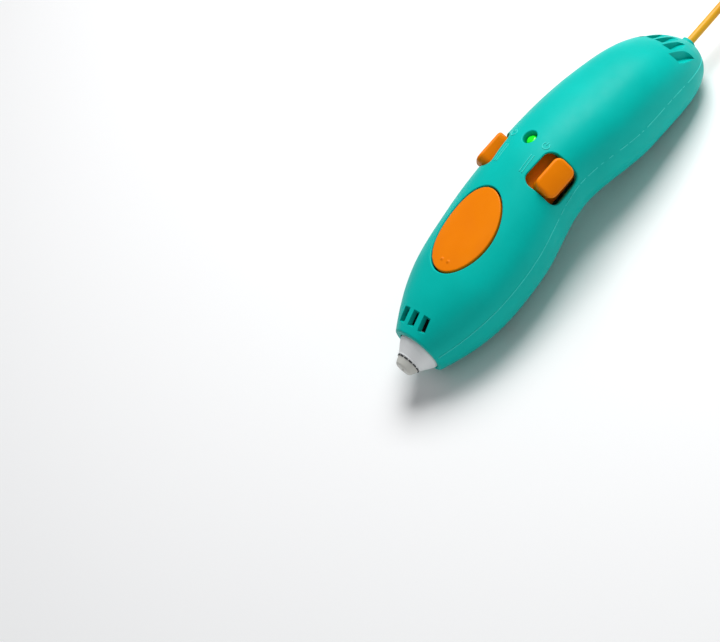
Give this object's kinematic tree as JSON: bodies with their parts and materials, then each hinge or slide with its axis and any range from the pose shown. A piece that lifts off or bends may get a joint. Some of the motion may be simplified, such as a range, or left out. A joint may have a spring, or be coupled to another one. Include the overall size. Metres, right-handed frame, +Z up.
{
  "type": "three d pen",
  "caption": "Handheld pen that melts a plastic strand: arched two-part body, grey nozzle cone, oval feed button, flank power pads and an inner strand drive.",
  "frame": {"origin": "centre of the bounding box's bottom, on the surface that the belly flats rest on", "axes": "+X runs along the feed line from the nozzle towards the tail and the strand, +Z up towards the button, +Y to the flank away from the lower power pad; -X is the nozzle"},
  "size_m": [0.176, 0.0386, 0.0361],
  "materials": {
    "housing_teal": "satin moulded ABS, teal",
    "control_orange": "satin moulded ABS, orange",
    "nozzle_grey": "pale grey satin nylon",
    "tip_grey": "warm grey heat-proof tip",
    "steel": "zinc-plated steel",
    "brass": "turned brass",
    "aluminium": "bare aluminium",
    "insulation": "woven heat insulation",
    "white_nylon": "natural acetal",
    "dark_plastic": "black moulded plastic",
    "circuit_board": "green circuit board",
    "light_pipe": "clear green light pipe",
    "cell_wrap": "shrink-wrapped cell",
    "dome_rubber": "silicone rubber",
    "wire_red": "insulated wire",
    "strand_yellow": "yellow-orange plastic strand",
    "idler_rubber": "rubber-faced roller"
  },
  "bodies": {
    "housing": {"top_shell": "housing_teal", "bottom_shell": "housing_teal", "housing_screws": "steel", "nozzle_tip": "tip_grey", "nozzle_cover": "nozzle_grey", "melt_barrel": "brass", "heater_sleeve": "aluminium", "insulation_sleeve": "insulation", "hot_end_mount": "white_nylon", "temperature_sensor": "dark_plastic", "front_guide_tube": "white_nylon", "rear_guide_tube": "white_nylon", "tail_bushing": "housing_teal", "mechanism_frame": "white_nylon", "frame_cover": "white_nylon", "frame_screws": "steel", "drive_bushings": "brass", "motor_gearbox": "steel", "motor_can": "steel", "motor_end_cap": "dark_plastic", "idler_pivot_pin": "steel", "button_hinge_pin": "steel", "button_dome": "dome_rubber", "main_board": "circuit_board", "board_screws": "steel", "board_chips": "dark_plastic", "feed_switch": "dark_plastic", "power_switch": "steel", "led_chip": "white_nylon", "led_light_pipe": "light_pipe", "battery_cell": "cell_wrap", "battery_cradle": "dark_plastic", "charge_board": "circuit_board", "charge_port": "steel", "motor_leads": "wire_red", "charge_leads": "wire_red"},
    "strand": {"strand_front": "strand_yellow", "strand_rear": "strand_yellow"},
    "drive": {"drive_axle": "steel", "drive_wheel": "steel", "crown_gear": "white_nylon"},
    "motor_output": {"pinion": "brass", "motor_shaft": "steel"},
    "idler": {"idler_arm": "aluminium", "idler_axle": "steel", "idler_spring": "steel"},
    "roller": {"idler_roller": "idler_rubber"},
    "button": {"feed_button": "control_orange"},
    "power_control": {"power_collar": "control_orange", "left_slider_pad": "control_orange", "right_slider_pad": "control_orange", "power_switch_lever": "dark_plastic"}
  },
  "joints": [
    {"name": "strand_feed", "type": "slide", "parent": "housing", "child": "strand", "axis": [-1, 0, 0], "range_m": [-0.02, 0.012]},
    {"name": "drive_spin", "type": "hinge", "parent": "housing", "child": "drive", "pos_m": [-0.044, 0.0054, 0.011], "axis": [0, 0, 1], "range_deg": [-173, 288]},
    {"name": "pinion_spin", "type": "hinge", "parent": "housing", "child": "motor_output", "pos_m": [-0.037, 0.0054, 0.0194], "axis": [1, 0, 0], "range_deg": [-345, 575]},
    {"name": "idler_swing", "type": "hinge", "parent": "housing", "child": "idler", "pos_m": [-0.038, -0.009, 0.011], "axis": [0, 0, 1], "range_deg": [0, 6], "stiffness_Nm_per_rad": 0.05, "springref_deg": -17.19},
    {"name": "idler_spin", "type": "hinge", "parent": "idler", "child": "roller", "pos_m": [-0.044, -0.0044, 0.011], "axis": [0, 0, 1], "range_deg": [-383, 230]},
    {"name": "button_press", "type": "hinge", "parent": "housing", "child": "button", "pos_m": [-0.0278, 0, 0.03], "axis": [0, -1, 0], "range_deg": [0, 1.8], "stiffness_Nm_per_rad": 0.5, "springref_deg": -0.57, "deforming": ["button_dome"]},
    {"name": "power_turn", "type": "hinge", "parent": "housing", "child": "power_control", "pos_m": [-0.018, 0, 0.021], "axis": [1, 0, 0], "range_deg": [-7.5, 7.5]}
  ],
  "couplings": [
    {"joint": "drive_spin", "follows": "strand_feed", "rad_per_m": -250},
    {"joint": "pinion_spin", "follows": "strand_feed", "rad_per_m": -500},
    {"joint": "idler_spin", "follows": "strand_feed", "rad_per_m": 333.33}
  ]
}
